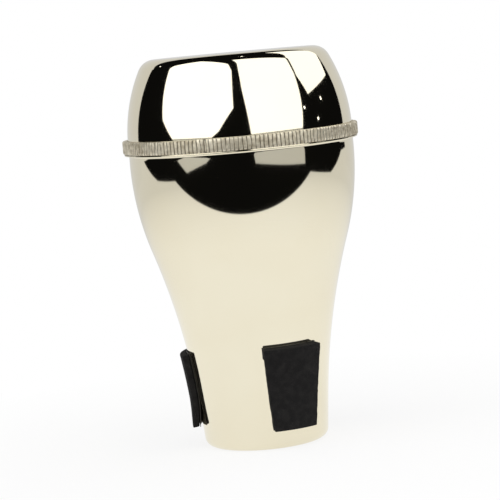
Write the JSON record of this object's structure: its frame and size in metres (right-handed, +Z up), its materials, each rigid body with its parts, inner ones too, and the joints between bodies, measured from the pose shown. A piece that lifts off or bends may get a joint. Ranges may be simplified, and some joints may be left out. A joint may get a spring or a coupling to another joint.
{
  "type": "trombone straight mute",
  "caption": "Straight mute for a tenor trombone: a hollow spun metal body with a knurled seam band, a flat closed end, an open narrow mouth and foam pads that seat in the bell.",
  "frame": {"origin": "centre of the mouth rim, on the plane that the mute stands on with its narrow end down", "axes": "+Z up the axis of the mute from the open mouth to the flat closed end; -Y faces the viewer of the picture and +X is to the right there"},
  "size_m": [0.134, 0.134, 0.223],
  "materials": {
    "polished_nickel": "mirror polished warm nickel plate",
    "knurled_nickel": "knurled and dulled plate with dark grooves",
    "black_foam": "matte closed-cell foam",
    "adhesive_film": "thin dark adhesive film"
  },
  "bodies": {
    "root": {"body_shell": "polished_nickel", "end_cap": "polished_nickel", "seam_ring": "knurled_nickel", "pad_front": "black_foam", "pad_back": "black_foam", "pad_left": "black_foam", "pad_front_film": "adhesive_film", "pad_back_film": "adhesive_film", "pad_left_film": "adhesive_film"}
  },
  "joints": []
}
